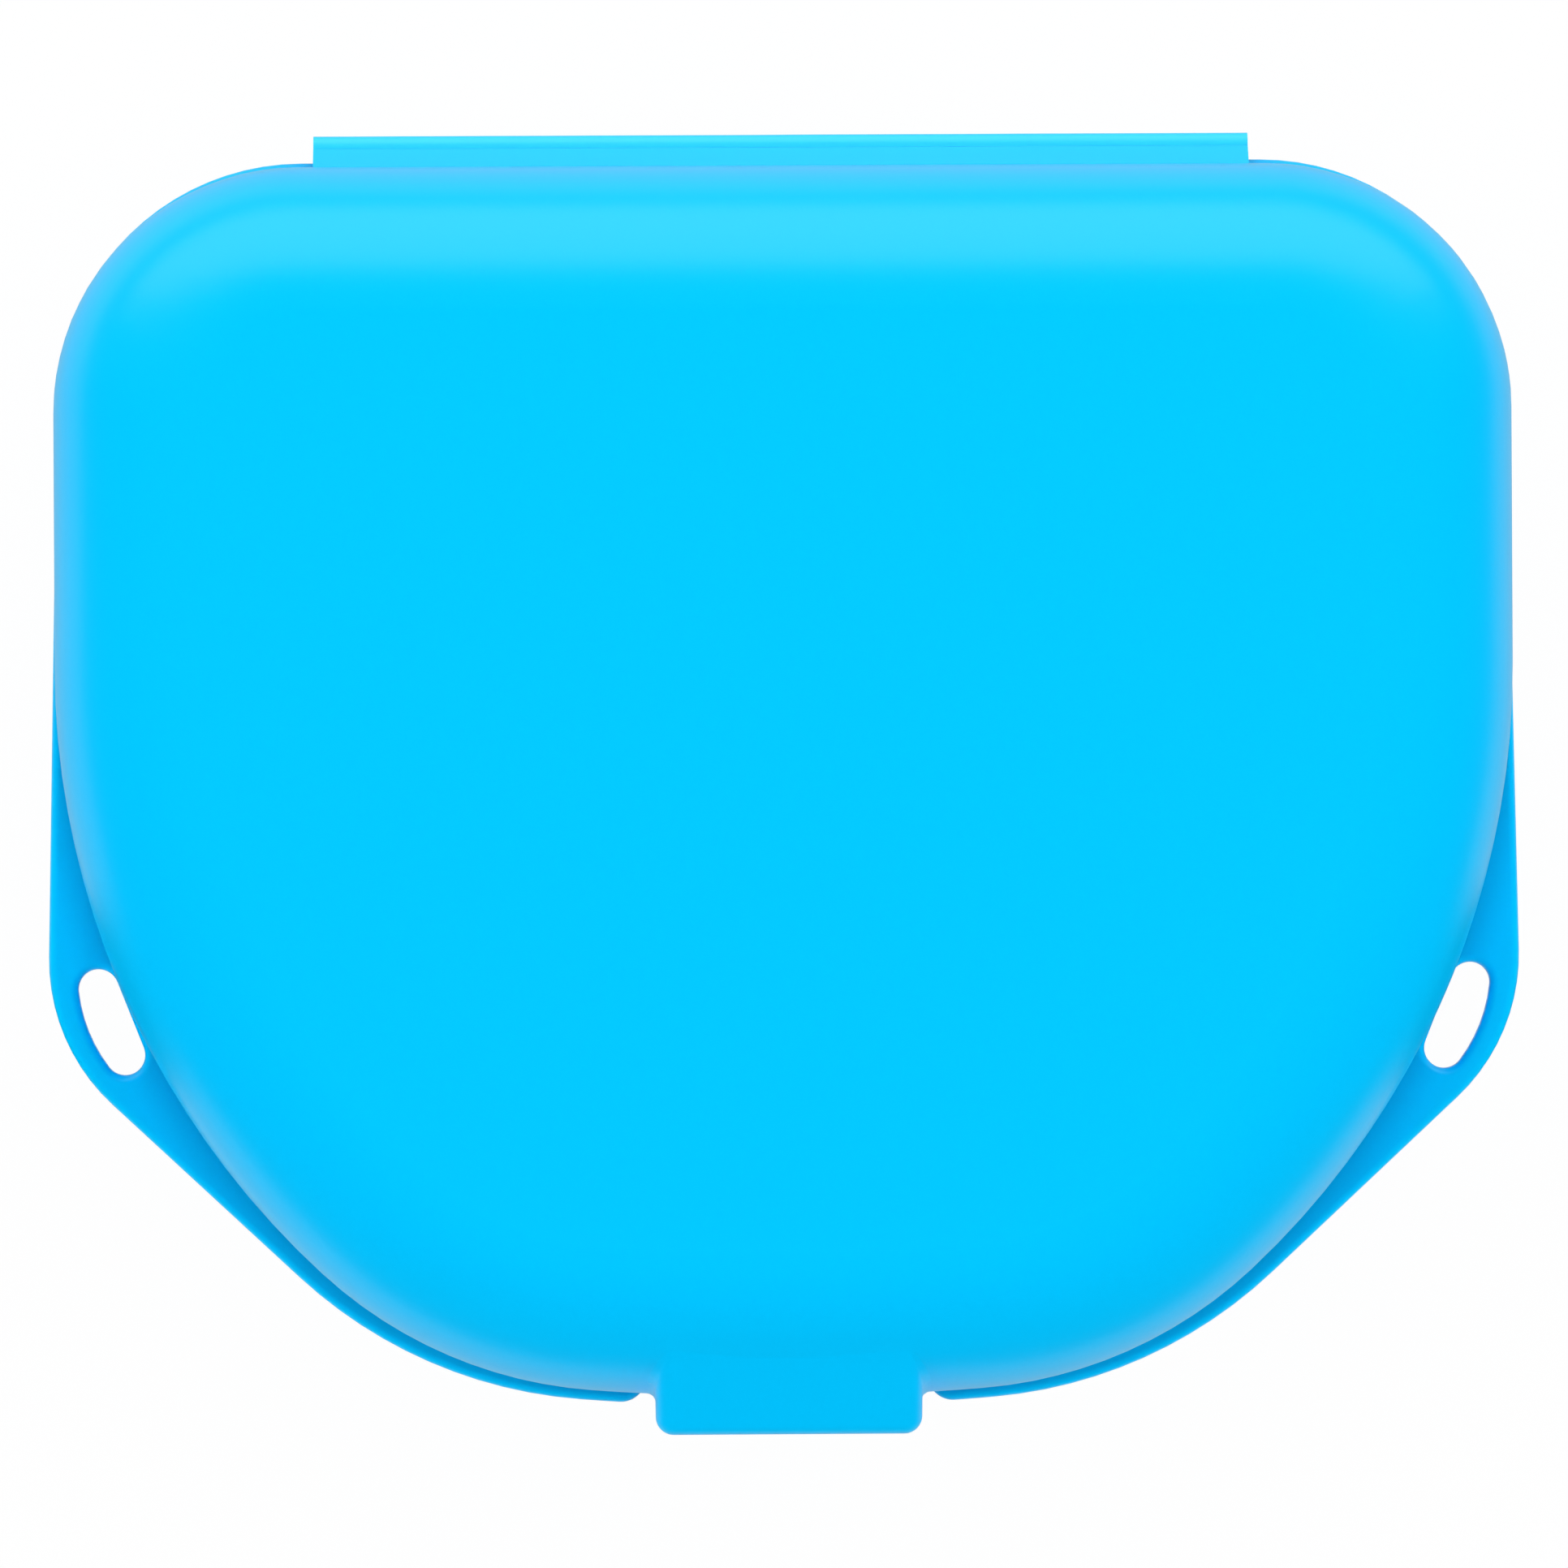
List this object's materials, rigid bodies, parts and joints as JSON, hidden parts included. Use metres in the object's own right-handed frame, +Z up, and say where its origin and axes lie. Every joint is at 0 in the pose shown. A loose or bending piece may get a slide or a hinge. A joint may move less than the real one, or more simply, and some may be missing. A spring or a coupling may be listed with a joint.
{
  "type": "retainer case",
  "caption": "Hinged D-shaped case for a dental retainer, with a shallow tray, a domed lid on a living hinge, a snap latch in front and ears with lanyard slots.",
  "frame": {"origin": "on the table under the middle of the closed case", "axes": "+X to the right along the hinge, +Y back towards the hinge, +Z up through the lid; the latch faces -Y"},
  "size_m": [0.082, 0.072, 0.026],
  "materials": {
    "polypropylene": "satin injection moulding",
    "polypropylene_film": "thin folded web"
  },
  "bodies": {
    "base": {"base_shell": "polypropylene", "hinge_film": "polypropylene_film"},
    "lid": {"lid_shell": "polypropylene"},
    "latch": {"latch_tab": "polypropylene"}
  },
  "joints": [
    {"name": "lid_hinge", "type": "hinge", "parent": "base", "child": "lid", "pos_m": [0, 0.03605, 0.014], "axis": [-1, 0, 0], "range_deg": [0, 180], "deforming": ["hinge_film"]},
    {"name": "latch_flex", "type": "hinge", "parent": "lid", "child": "latch", "pos_m": [0, -0.03605, 0.0167], "axis": [-1, 0, 0], "range_deg": [0, 8], "stiffness_Nm_per_rad": 0.75}
  ]
}
